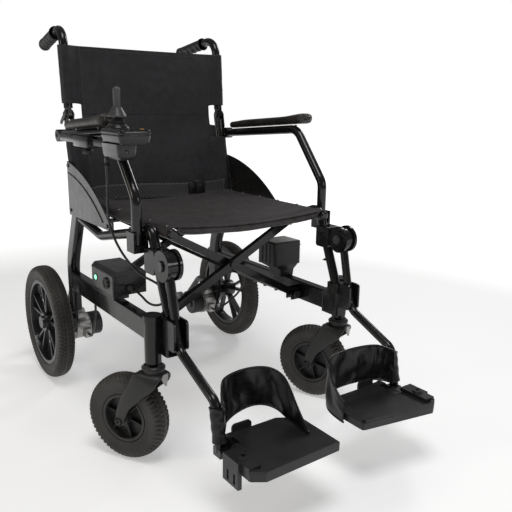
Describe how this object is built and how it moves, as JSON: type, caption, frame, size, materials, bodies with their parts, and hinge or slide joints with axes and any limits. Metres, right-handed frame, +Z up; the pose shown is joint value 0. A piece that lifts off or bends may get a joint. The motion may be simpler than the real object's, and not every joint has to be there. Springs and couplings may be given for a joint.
{
  "type": "folding power wheelchair",
  "caption": "Folding power wheelchair: cross-braced black frame, sling seat and back, powered rear wheels, front casters, armrest joystick and swing-up footplates.",
  "frame": {"origin": "on the floor under the middle of the chair's bounding box", "axes": "+Z up, the chair faces -Y, the user's left is +X"},
  "size_m": [0.66, 1.103, 0.9185],
  "materials": {
    "frame_black": "gloss black powder coat",
    "motor_metal": "die-cast, satin",
    "bolt_steel": "blackened steel",
    "anti_tip_black": "gloss black",
    "guard_plastic": "moulded, semi-gloss black",
    "grip_rubber": "matte ribbed rubber",
    "pad_foam": "moulded foam, fine grain",
    "footplate_plastic": "ribbed non-slip plastic",
    "heel_webbing": "hemmed satin webbing",
    "tyre_rubber": "treaded rubber",
    "rim_black": "moulded black",
    "caster_plastic": "moulded dark grey",
    "roller_rubber": "solid grey rubber",
    "seat_fabric": "satin woven nylon",
    "back_fabric": "woven nylon",
    "belt_webbing": "woven webbing",
    "control_plastic": "fine-grain charcoal plastic",
    "stick_rubber": "soft rubber",
    "button_green": "lit green",
    "battery_plastic": "fine-grain plastic",
    "cable_jacket": "round black cable"
  },
  "bodies": {
    "frame_right": {"rear_upright_right": "frame_black", "lower_rail_right": "frame_black", "front_tube_right": "frame_black", "caster_housing_right": "frame_black", "hanger_pivot_right": "frame_black", "side_guard_right": "guard_plastic", "drive_motor_right": "motor_metal", "anti_tipper_right": "anti_tip_black", "frame_bolts_right": "bolt_steel", "motor_cable_right": "cable_jacket", "back_sling_lower": "back_fabric", "lap_belt": "belt_webbing", "controller_box": "control_plastic", "joystick_cable": "cable_jacket"},
    "cross_b": {"cross_frame_b": "frame_black"},
    "cross_a": {"cross_frame_a": "frame_black", "seat_sling": "seat_fabric"},
    "frame_left": {"rear_upright_left": "frame_black", "lower_rail_left": "frame_black", "front_tube_left": "frame_black", "caster_housing_left": "frame_black", "hanger_pivot_left": "frame_black", "side_guard_left": "guard_plastic", "drive_motor_left": "motor_metal", "anti_tipper_left": "anti_tip_black", "frame_bolts_left": "bolt_steel", "motor_cable_left": "cable_jacket", "battery_dock": "battery_plastic"},
    "back_right": {"upper_cane_right": "frame_black", "push_grip_right": "grip_rubber", "back_sling_upper": "back_fabric"},
    "back_left": {"upper_cane_left": "frame_black", "push_grip_left": "grip_rubber"},
    "armrest_right": {"armrest_tube_right": "frame_black", "armrest_pad_right": "pad_foam", "joystick_housing": "control_plastic"},
    "armrest_left": {"armrest_tube_left": "frame_black", "armrest_pad_left": "pad_foam"},
    "joystick_yoke": {"joystick_yoke": "control_plastic"},
    "joystick_stick": {"joystick_stick": "stick_rubber"},
    "power_button": {"power_button": "button_green"},
    "battery": {"battery_box": "battery_plastic"},
    "leg_right": {"hanger_tube_right": "frame_black", "heel_loop_right": "heel_webbing"},
    "footplate_right": {"footplate_right": "footplate_plastic"},
    "caster_fork_right": {"caster_fork_right": "caster_plastic"},
    "caster_wheel_right": {"caster_tyre_right": "tyre_rubber", "caster_rim_right": "caster_plastic"},
    "rear_wheel_right": {"rear_tyre_right": "tyre_rubber", "rear_rim_right": "rim_black"},
    "anti_tip_wheel_right": {"anti_tip_wheel_right": "roller_rubber"},
    "leg_left": {"hanger_tube_left": "frame_black", "heel_loop_left": "heel_webbing"},
    "footplate_left": {"footplate_left": "footplate_plastic"},
    "caster_fork_left": {"caster_fork_left": "caster_plastic"},
    "caster_wheel_left": {"caster_tyre_left": "tyre_rubber", "caster_rim_left": "caster_plastic"},
    "rear_wheel_left": {"rear_tyre_left": "tyre_rubber", "rear_rim_left": "rim_black"},
    "anti_tip_wheel_left": {"anti_tip_wheel_left": "roller_rubber"}
  },
  "joints": [
    {"name": "fold", "type": "hinge", "parent": "frame_right", "child": "cross_b", "pos_m": [-0.2, 0, 0.265], "axis": [0, -1, 0], "range_deg": [0, 45], "deforming": ["seat_sling", "back_sling_upper", "back_sling_lower", "lap_belt"]},
    {"name": "fold_cross", "type": "hinge", "parent": "cross_b", "child": "cross_a", "pos_m": [0, 0, 0.37223], "axis": [0, 1, 0], "range_deg": [0, 90]},
    {"name": "fold_left", "type": "hinge", "parent": "cross_a", "child": "frame_left", "pos_m": [0.2, 0, 0.265], "axis": [0, -1, 0], "range_deg": [0, 45]},
    {"name": "back_fold_right", "type": "hinge", "parent": "frame_right", "child": "back_right", "pos_m": [0, 0.281, 0.7], "axis": [-1, 0, 0], "range_deg": [0, 80]},
    {"name": "armrest_lift_right", "type": "hinge", "parent": "frame_right", "child": "armrest_right", "pos_m": [0, 0.27122, 0.65], "axis": [-1, 0, 0], "range_deg": [0, 80], "deforming": ["joystick_cable"]},
    {"name": "legrest_lift_right", "type": "hinge", "parent": "frame_right", "child": "leg_right", "pos_m": [0, -0.25, 0.428], "axis": [-1, 0, 0], "range_deg": [0, 80]},
    {"name": "footplate_flip_right", "type": "hinge", "parent": "leg_right", "child": "footplate_right", "pos_m": [-0.207, 0, 0.124], "axis": [0, -1, 0], "range_deg": [0, 90], "deforming": ["heel_loop_right"]},
    {"name": "caster_swivel_right", "type": "hinge", "parent": "frame_right", "child": "caster_fork_right", "pos_m": [-0.254, -0.223, 0.275], "axis": [0, 0, 1], "continuous": true},
    {"name": "caster_roll_right", "type": "hinge", "parent": "caster_fork_right", "child": "caster_wheel_right", "pos_m": [-0.28591, -0.16637, 0.093], "axis": [0.8712, 0.4909, 0], "continuous": true},
    {"name": "drive_wheel_right", "type": "hinge", "parent": "frame_right", "child": "rear_wheel_right", "pos_m": [0, 0.334, 0.1525], "axis": [1, 0, 0], "continuous": true},
    {"name": "anti_tip_roll_right", "type": "hinge", "parent": "frame_right", "child": "anti_tip_wheel_right", "pos_m": [0, 0.523, 0.078], "axis": [1, 0, 0], "continuous": true},
    {"name": "back_fold_left", "type": "hinge", "parent": "frame_left", "child": "back_left", "pos_m": [0, 0.281, 0.7], "axis": [-1, 0, 0], "range_deg": [0, 80]},
    {"name": "armrest_lift_left", "type": "hinge", "parent": "frame_left", "child": "armrest_left", "pos_m": [0, 0.27122, 0.65], "axis": [-1, 0, 0], "range_deg": [0, 80]},
    {"name": "legrest_lift_left", "type": "hinge", "parent": "frame_left", "child": "leg_left", "pos_m": [0, -0.25, 0.428], "axis": [-1, 0, 0], "range_deg": [0, 80]},
    {"name": "footplate_flip_left", "type": "hinge", "parent": "leg_left", "child": "footplate_left", "pos_m": [0.207, 0, 0.124], "axis": [0, 1, 0], "range_deg": [0, 90], "deforming": ["heel_loop_left"]},
    {"name": "caster_swivel_left", "type": "hinge", "parent": "frame_left", "child": "caster_fork_left", "pos_m": [0.254, -0.223, 0.275], "axis": [0, 0, 1], "continuous": true},
    {"name": "caster_roll_left", "type": "hinge", "parent": "caster_fork_left", "child": "caster_wheel_left", "pos_m": [0.22954, -0.16278, 0.093], "axis": [0.9265, 0.3762, 0], "continuous": true},
    {"name": "drive_wheel_left", "type": "hinge", "parent": "frame_left", "child": "rear_wheel_left", "pos_m": [0, 0.334, 0.1525], "axis": [1, 0, 0], "continuous": true},
    {"name": "anti_tip_roll_left", "type": "hinge", "parent": "frame_left", "child": "anti_tip_wheel_left", "pos_m": [0, 0.523, 0.078], "axis": [1, 0, 0], "continuous": true},
    {"name": "joystick_fore_aft", "type": "hinge", "parent": "armrest_right", "child": "joystick_yoke", "pos_m": [-0.262, -0.108, 0.69], "axis": [1, 0, 0], "range_deg": [-15, 15], "stiffness_Nm_per_rad": 0.15},
    {"name": "joystick_side", "type": "hinge", "parent": "joystick_yoke", "child": "joystick_stick", "pos_m": [-0.262, -0.108, 0.69], "axis": [0, 1, 0], "range_deg": [-15, 15], "stiffness_Nm_per_rad": 0.15},
    {"name": "power_press", "type": "slide", "parent": "frame_right", "child": "power_button", "axis": [1, 0, 0], "range_m": [0, 0.0015], "stiffness_N_per_m": 400},
    {"name": "battery_lift", "type": "slide", "parent": "frame_left", "child": "battery", "axis": [0, 0, 1], "range_m": [0, 0.04]}
  ],
  "couplings": [
    {"joint": "fold_cross", "follows": "fold", "ratio": 2},
    {"joint": "fold_left", "follows": "fold", "ratio": 1},
    {"joint": "back_fold_left", "follows": "back_fold_right", "ratio": 1},
    {"joint": "footplate_flip_right", "follows": "fold", "ratio": 2},
    {"joint": "footplate_flip_left", "follows": "fold", "ratio": 2}
  ]
}
